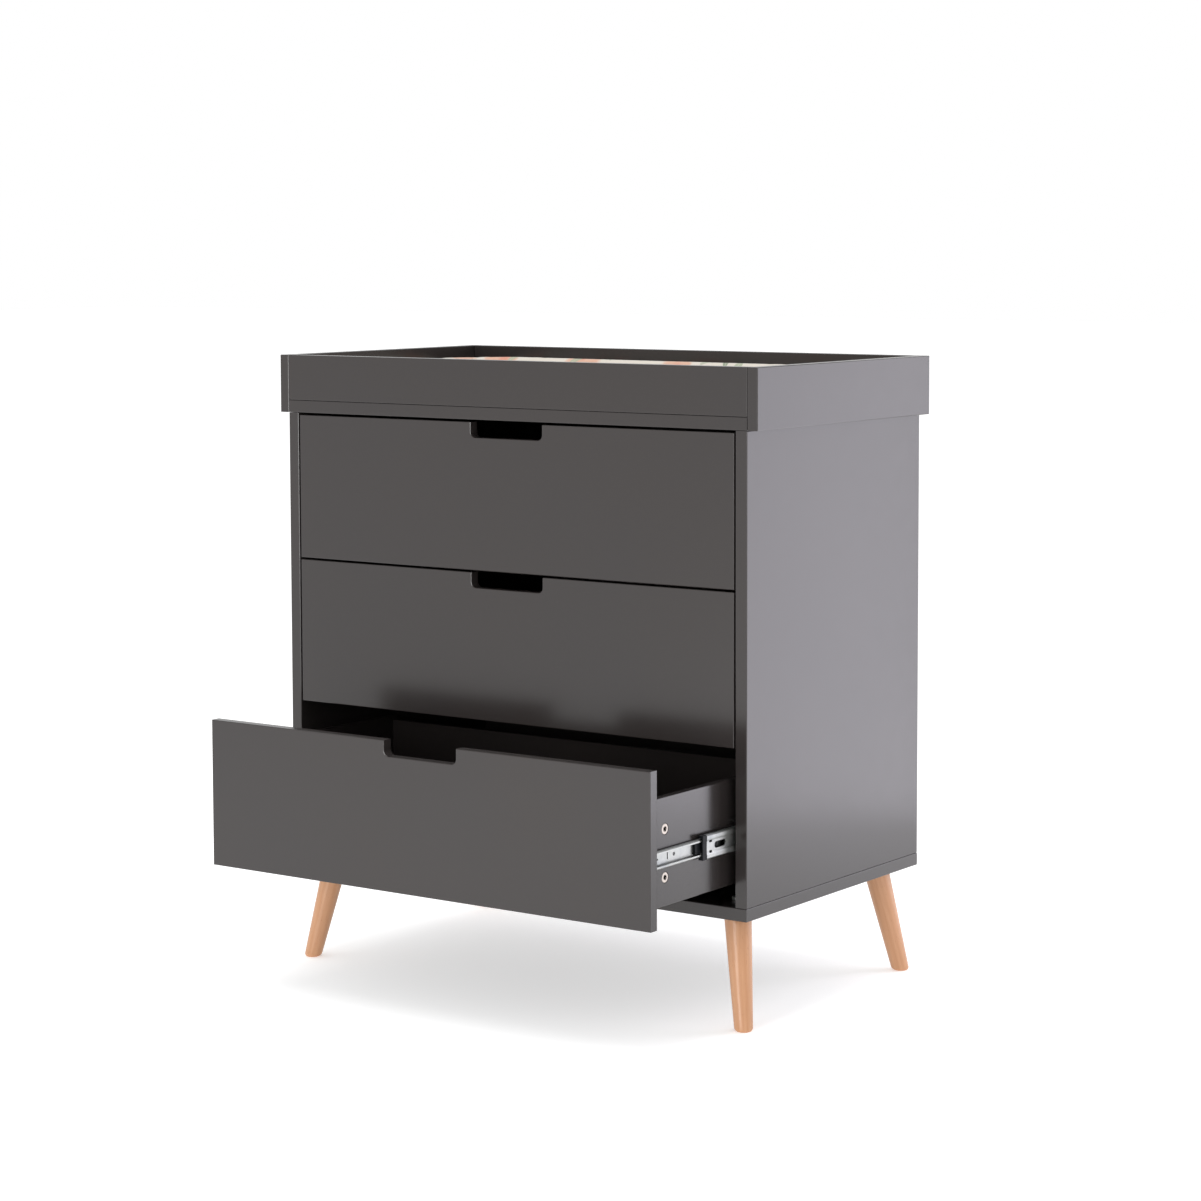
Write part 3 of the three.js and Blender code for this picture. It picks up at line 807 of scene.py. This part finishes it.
def leafPrint(sheet, place, cell, offset, length, width):  # one turned leaf in most cells
    spot = sheet.vector("ADD", sheet.stretched(place, (1 / cell, 1 / cell, 1)), offset)
    values = {"Vector": spot, "Scale": 1.0, "Randomness": leafShape["wander"]}
    cells = sheet.node("ShaderNodeTexVoronoi", {"voronoi_dimensions": "2D"}, values)
    chance = sheet.split(cells.output("Color"))
    away = sheet.vector("SUBTRACT", spot, cells.output("Position"))
    values = {"Vector": away, "Angle": chance[0] * (2 * math.pi)}
    turned = sheet.node("ShaderNodeVectorRotate", {"rotation_type": "Z_AXIS"}, values)
    along, across = sheet.split(turned)[:2]
    shortest, added = leafShape["lengths"]
    share = along / (length * (shortest + added * chance[1]))
    outline = (1 - share * share) * width
    edge = leafShape["edge"]
    blade = sheet.step(outline - abs(across), 0.0, edge) * sheet.step(1 - abs(share), 0.0, edge)
    vein = 1 - sheet.step(abs(across), *leafShape["vein"])
    return blade * sheet.step(chance[2], *leafShape["missing"]), vein


def bloomPrint(sheet, place, cell):  # soft-edged round blooms and their hearts
    spot = sheet.vector("ADD", sheet.stretched(place, (1 / cell, 1 / cell, 1)), bloomShape["start"])
    values = {"Vector": spot, "Scale": bloomShape["driftScale"], "Detail": 3.0}
    drift = sheet.node("ShaderNodeTexNoise", {}, values, "Color")
    warped = sheet.vector("ADD", spot, sheet.vector("MULTIPLY", drift, bloomShape["drift"]))
    values = {"Vector": warped, "Scale": 1.0}
    away = sheet.node("ShaderNodeTexVoronoi", {"voronoi_dimensions": "2D"}, values)
    return 1 - sheet.step(away, *bloomShape["edge"]), 1 - sheet.step(away, *bloomShape["heart"])


def makeCover(look):
    material, sheet, shader = newFinish("printed_mat_cover", look["sheen"])
    place = sheet.node("ShaderNodeUVMap", {"uv_map": "cloth"})
    stain = sheet.noise(place, look["stainScale"], 4.0, 0.6)
    bloom, heart = bloomPrint(sheet, place, look["bloomCell"])
    even, stained = look["bloomShares"]
    color = sheet.blend(bloom * (even + stained * stain), look["cloth"], look["peach"])
    color = sheet.blend(heart * look["heartShare"], color, look["heart"])
    even, stained = look["leafShares"]
    for name, offset, length, width in leafKinds:
        blade, vein = leafPrint(sheet, place, look["leafCell"], offset, length, width)
        tone = sheet.blend(vein * look["veinShare"], look[name], look["cloth"])
        color = sheet.blend(blade * (even + stained * stain), color, tone)
    x, y = sheet.split(place)[:2]
    turns = 2 * math.pi / look["threadPitch"]
    threads = sheet.math("SINE", x * turns) * sheet.math("SINE", y * turns) * 0.5 + 0.5
    shaded = sheet.blend((1 - threads) * look["shadowShare"], color, look["shadow"], "MULTIPLY")
    roughness = look["roughness"] + threads * look["threadRoughness"] + stain * look["stainRoughness"]
    creases = sheet.bump(sheet.noise(place, look["creaseScale"], 3.0, 0.55), look["creaseDepth"], 0.6)
    weave = sheet.bump(threads, look["threadDepth"], 0.5, creases)
    wear(sheet, shader, {"Base Color": shaded, "Roughness": roughness, "Normal": weave})
    return material


threadLook = {
    "pale": (0.640, 0.560, 0.470, 1),
    "deep": (0.520, 0.440, 0.360, 1),
    "twistPitch": 0.0017,
    "twistSlope": 1.4,
    "twistDepth": 0.00015,
    "twistShare": 0.2,
    "twistRoughness": 0.15,
    "cloudScale": 120.0,
    "cloudShare": 0.6,
    "roughness": 0.62,
}


def makeTwist(name, look):  # cord cloth and thread, twisted slantwise
    material, sheet, shader = newFinish(name, {"Sheen Weight": 0.2})
    place = objectPlace(sheet)
    x, y, z = sheet.split(place)
    turns = 2 * math.pi / look["twistPitch"]
    twist = sheet.math("SINE", (x + y + z * look["twistSlope"]) * turns) * 0.5 + 0.5
    clouds = sheet.noise(place, look["cloudScale"], 3.0)
    depth = clouds * look["cloudShare"] + twist * look["twistShare"]
    color = sheet.blend(depth, look["pale"], look["deep"])
    ridges = sheet.bump(twist, look["twistDepth"], 0.7)
    roughness = look["roughness"] + twist * look["twistRoughness"]
    wear(sheet, shader, {"Base Color": color, "Roughness": roughness, "Normal": ridges})
    return material


matSizes = {
    "inset": (0.0040, 0.0040, -0.0010),  # of the start shape; the rounding takes the height off again
    "voxel": 0.006,
    "rounding": 9,  # smoothing passes
    "softness": 0.6,  # of each pass
    "weldDistance": 1e-5,
    "pressure": 4.0,
    "clothQuality": 4,
    "clothMass": 0.2,
    "frames": 20,
    "mostMove": 0.006,
    "pipeRadius": 0.0024,
    "pipeHeight": 0.011,
    "stitchHeight": 0.0155,
    "cornerRadius": 0.022,
    "cornerSteps": 12,
    "loopStep": 0.012,
    "reach": 0.06,  # how far outside the pad the search for its edge starts
    "fallback": 0.02,  # the edge's distance where the search finds nothing
    "foldSpeed": 1.4,  # how soon a slanting face counts as a side of the pad
}


def softStart(sizes):  # the plain solid, smaller, remeshed and rounded
    low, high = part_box("changing_mat")
    centre = (low + high) / 2
    shape = bmesh.new()
    shape.from_mesh(frame["nodes"]["changing_mat"].data)
    bmesh.ops.remove_doubles(shape, verts=shape.verts, dist=sizes["weldDistance"])
    for vertex in shape.verts:
        for axis in range(3):
            halfSize = (high[axis] - low[axis]) / 2
            away = vertex.co[axis] - centre[axis]
            vertex.co[axis] = centre[axis] + away * (halfSize - sizes["inset"][axis]) / halfSize
    mesh = bpy.data.meshes.new("mat")
    shape.to_mesh(mesh)
    shape.free()
    pad = addPiece("padded_changing_mat", mesh)
    remesh = pad.modifiers.new("remesh", "REMESH")
    remesh.mode = "VOXEL"
    remesh.voxel_size = sizes["voxel"]
    rounder = pad.modifiers.new("rounder", "SMOOTH")
    rounder.factor = sizes["softness"]
    rounder.iterations = sizes["rounding"]
    return finished(pad)


def swell(pad, sizes):  # cloth under pressure, with no point moving further than mostMove
    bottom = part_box("changing_mat")[0].z
    start = [vertex.co.copy() for vertex in pad.data.vertices]
    cloth = pad.modifiers.new("cloth", "CLOTH")
    cloth.settings.use_pressure = True
    cloth.settings.uniform_pressure_force = sizes["pressure"]
    cloth.settings.effector_weights.gravity = 0
    cloth.settings.quality = sizes["clothQuality"]
    cloth.settings.mass = sizes["clothMass"]
    cloth.point_cache.frame_start = 1
    cloth.point_cache.frame_end = sizes["frames"]
    for number in range(1, sizes["frames"] + 1):
        scene.frame_set(number)
    evaluated = pad.evaluated_get(bpy.context.evaluated_depsgraph_get())
    moved = [vertex.co.copy() for vertex in evaluated.data.vertices]
    pad.modifiers.clear()
    scene.frame_set(1)
    for vertex, before, after in zip(pad.data.vertices, start, moved):
        step = after - before
        if step.length > sizes["mostMove"]:
            step.length = sizes["mostMove"]
        vertex.co = before + step
        vertex.co.z = max(vertex.co.z, bottom)
    pad.data.update()
    return pad


def layCloth(pad, sizes):  # a flat pattern: the sides fold out from the top's edges
    low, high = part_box("changing_mat")
    centre = (low + high) / 2
    mesh = pad.data
    flat = []
    for vertex in mesh.vertices:
        drop = high.z - vertex.co.z
        sideways = max(0.0, 1 - abs(vertex.normal.z) * sizes["foldSpeed"])
        fold = drop * sideways
        x = vertex.co.x + math.copysign(fold, vertex.co.x - centre.x) * abs(vertex.normal.x)
        y = vertex.co.y + math.copysign(fold, vertex.co.y - centre.y) * abs(vertex.normal.y)
        flat.append((x, y))
    layer = mesh.uv_layers.new(name="cloth")
    for loop in mesh.loops:
        layer.data[loop.index].uv = flat[loop.vertex_index]


def edgeLoop(pad, sizes, rise):  # points round the pad's edge at one height
    low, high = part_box("changing_mat")
    centre = (low + high) / 2
    height = low.z + rise
    tree = BVHTree.FromObject(pad, bpy.context.evaluated_depsgraph_get())
    corner = sizes["cornerRadius"]
    spanX, spanY = (high.x - low.x) / 2 - corner, (high.y - low.y) / 2 - corner
    corners = ((spanX, spanY), (-spanX, spanY), (-spanX, -spanY), (spanX, -spanY))
    line = []
    for turn, (x, y) in enumerate(corners):
        for i in range(sizes["cornerSteps"] + 1):
            angle = math.pi / 2 * (turn + i / sizes["cornerSteps"])
            out = (math.cos(angle), math.sin(angle))
            line.append((x, y, out))
        nextX, nextY = corners[(turn + 1) % 4]
        steps = round(math.hypot(nextX - x, nextY - y) / sizes["loopStep"])
        for i in range(1, steps):
            share = i / steps
            line.append((x + (nextX - x) * share, y + (nextY - y) * share, out))
    loop = []
    for x, y, (outX, outY) in line:
        out = Vector((outX, outY, 0))
        inner = Vector((centre.x + x, centre.y + y, height))
        hit = tree.ray_cast(inner + out * sizes["reach"], -out)[0]
        loop.append(hit if hit else inner + out * sizes["fallback"])
    return loop


stitchRow = {"Pitch": 0.0046, "Stitch length": 0.0034, "Thread width": 0.0008}


def stitchRecipe(sizes):  # short threads laid end to end along a path
    recipe = Recipe("stitch_recipe", sizes)
    path = recipe.node("GeometryNodeMeshToCurve", {}, {"Mesh": recipe.start})
    values = {"Curve": path, "Length": recipe.size("Pitch")}
    marks = recipe.node("GeometryNodeResampleCurve", {"mode": "LENGTH"}, values)
    along = recipe.node("GeometryNodeInputTangent")
    turned = recipe.node("FunctionNodeAlignRotationToVector", {"axis": "Z"}, {"Vector": along})
    values = {"Segments": 6, "Rings": 5, "Radius": 0.5}
    bead = recipe.node("GeometryNodeMeshUVSphere", {}, values)
    width = recipe.size("Thread width")
    shape = recipe.xyz(width, width, recipe.size("Stitch length"))
    thread = recipe.node("GeometryNodeTransform", {}, {"Geometry": bead, "Scale": shape})
    values = {"Points": marks, "Instance": thread, "Rotation": turned}
    recipe.end(recipe.node("GeometryNodeInstanceOnPoints", {}, values))
    return recipe


pipeRoundness = 3


def tubeRound(name, loop, radius, material):  # a closed round tube along the loop
    curve = bpy.data.curves.new(name, "CURVE")
    curve.dimensions = "3D"
    curve.bevel_depth = radius
    curve.bevel_resolution = pipeRoundness
    spline = curve.splines.new("POLY")
    spline.points.add(len(loop) - 1)
    for point, place in zip(spline.points, loop):
        point.co = (*place, 1)
    spline.use_cyclic_u = True
    holder = bpy.data.objects.new(name + "_path", curve)
    scene.collection.objects.link(holder)
    mesh = bpy.data.meshes.new_from_object(holder.evaluated_get(bpy.context.evaluated_depsgraph_get()))
    bpy.data.objects.remove(holder)
    return addPiece(name, mesh, material, smooth=True)


pad = swell(softStart(matSizes), matSizes)
pad.data.materials.clear()
pad.data.materials.append(makeCover(matLook))
pad.data.polygons.foreach_set("use_smooth", [True] * len(pad.data.polygons))
layCloth(pad, matSizes)
finer = pad.modifiers.new("finer", "SUBSURF")
finer.levels = 1
finer.render_levels = 1
pipeLoop = edgeLoop(pad, matSizes, matSizes["pipeHeight"])
pipeCloth = makeTwist("mat_piping_cloth", threadLook)
piping = tubeRound("mat_piping", pipeLoop, matSizes["pipeRadius"], pipeCloth)
stitchLoop = edgeLoop(pad, matSizes, matSizes["stitchHeight"])
count = len(stitchLoop)
ring = [(i, (i + 1) % count) for i in range(count)]
threadCloth = makeTwist("mat_thread", dict(threadLook, twistPitch=0.0006))  # finer than the piping's
upwards = [(0, 0, 1)] * count
stitches = stitchRecipe(stitchRow).run("mat_stitches", stitchLoop, upwards, threadCloth, ring)
for piece in (pad, piping, stitches):
    dress(piece, "mat")
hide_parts("changing_mat")
print("mat filled, printed and piped")


# Floor, lights and camera

studio = {
    "sky": 0.82,
    "floorGlow": 0.42,
    "floorPale": (0.94, 0.94, 0.94, 1),
    "floorDeep": (0.92, 0.92, 0.92, 1),
    "floorHalf": 30.0,
    "floorSquares": 8,
    "floorCloudScale": 0.6,
    "keyPower": 8.0,
    "keySize": (0.8, 1.3),
    "keyDistance": 1.3,
    "keyTurn": math.radians(54),  # from +X towards +Y
    "keyClearance": 0.02,  # above the floor
    "keyColor": (0.91, 0.88, 1.0),
    "overheadPower": 30.0,
    "overheadSize": (2.4, 2.4),
    "overheadPlace": (-0.3, -0.5, 3.1),
    "overheadColor": (1, 1, 1),
    "frontPower": 60.0,
    "frontSize": (1.5, 1.5),
    "frontPlace": (0.2, -4.0, 0.9),
    "frontAim": (0, 0, 0.5),
    "frontColor": (1, 1, 1),
}


def makeFloor():
    settings = {
        "Roughness": 0.9,
        "Specular IOR Level": 0.1,
        "Emission Color": (1, 1, 1, 1),
        "Emission Strength": studio["floorGlow"],
    }
    material, sheet, shader = newFinish("pale_floor", settings)
    clouds = sheet.noise(objectPlace(sheet), studio["floorCloudScale"], 2.0)
    wear(sheet, shader, {"Base Color": sheet.blend(clouds, studio["floorPale"], studio["floorDeep"])})
    return material


shape = bmesh.new()
squares = studio["floorSquares"]
bmesh.ops.create_grid(shape, x_segments=squares, y_segments=squares, size=studio["floorHalf"])
floor = addPiece("studio_floor", meshOf(shape, "floor"), makeFloor())


def makeSky():  # lights the room at one strength, and stays white behind the table
    world = bpy.data.worlds.new("studio")
    scene.world = world
    world.use_nodes = True
    sheet = Sheet(world.node_tree)
    background = world.node_tree.nodes["Background"]
    background.inputs["Color"].default_value = (1, 1, 1, 1)
    seen = sheet.node("ShaderNodeLightPath")
    strength = seen * (1 - studio["sky"]) + studio["sky"]
    sheet.tree.links.new(strength.socket, background.inputs["Strength"])


def softBox(name, place, aim):  # a light that is seen only in reflections
    light = bpy.data.lights.new(f"{name}_soft_box", "AREA")
    light.shape = "RECTANGLE"
    light.size, light.size_y = studio[name + "Size"]
    light.energy = studio[name + "Power"]
    light.color = studio[name + "Color"]
    holder = bpy.data.objects.new(f"{name}_soft_box", light)
    scene.collection.objects.link(holder)
    holder.location = place
    holder.rotation_euler = (Vector(aim) - Vector(place)).to_track_quat("-Z", "Y").to_euler()
    holder.visible_camera = False


makeSky()
reach, turn = studio["keyDistance"], studio["keyTurn"]
keyHeight = studio["keySize"][1] / 2 + studio["keyClearance"]
keyFoot = (cadBox[1].x, (cadBox[0].y + cadBox[1].y) / 2, keyHeight)
keyPlace = (keyFoot[0] + reach * math.cos(turn), keyFoot[1] + reach * math.sin(turn), keyHeight)
softBox("key", keyPlace, keyFoot)
overhead = Vector(studio["overheadPlace"])
softBox("overhead", overhead, (overhead.x, overhead.y, 0))
softBox("front", studio["frontPlace"], studio["frontAim"])

view = {
    "place": (2.58316, -3.54418, 1.0753),
    "turn": 0.6171,  # radians round from straight in front
    "rise": 0.0800,
    "roll": -0.0028,
    "lens": 91.86,
    "shift": -0.1003,
    "sensor": 36,
    "farthest": 100,
}


def aimCamera(settings):
    camera = bpy.data.cameras.new("camera")
    camera.sensor_width = settings["sensor"]
    camera.lens = settings["lens"]
    camera.shift_y = settings["shift"]
    camera.clip_end = settings["farthest"]
    turn, rise, roll = settings["turn"], settings["rise"], settings["roll"]
    back = Vector((math.sin(turn) * math.cos(rise), -math.cos(turn) * math.cos(rise), math.sin(rise)))
    right = Vector((math.cos(turn), math.sin(turn), 0))
    up = back.cross(right)
    tilted = math.cos(roll) * right + math.sin(roll) * up
    upright = math.cos(roll) * up - math.sin(roll) * right
    holder = bpy.data.objects.new("camera", camera)
    scene.collection.objects.link(holder)
    axes = Matrix((tilted, upright, back)).transposed().to_4x4()
    holder.matrix_world = Matrix.Translation(settings["place"]) @ axes
    scene.camera = holder


aimCamera(view)
scene.view_settings.view_transform = "Standard"
print("floor, lights and camera placed")
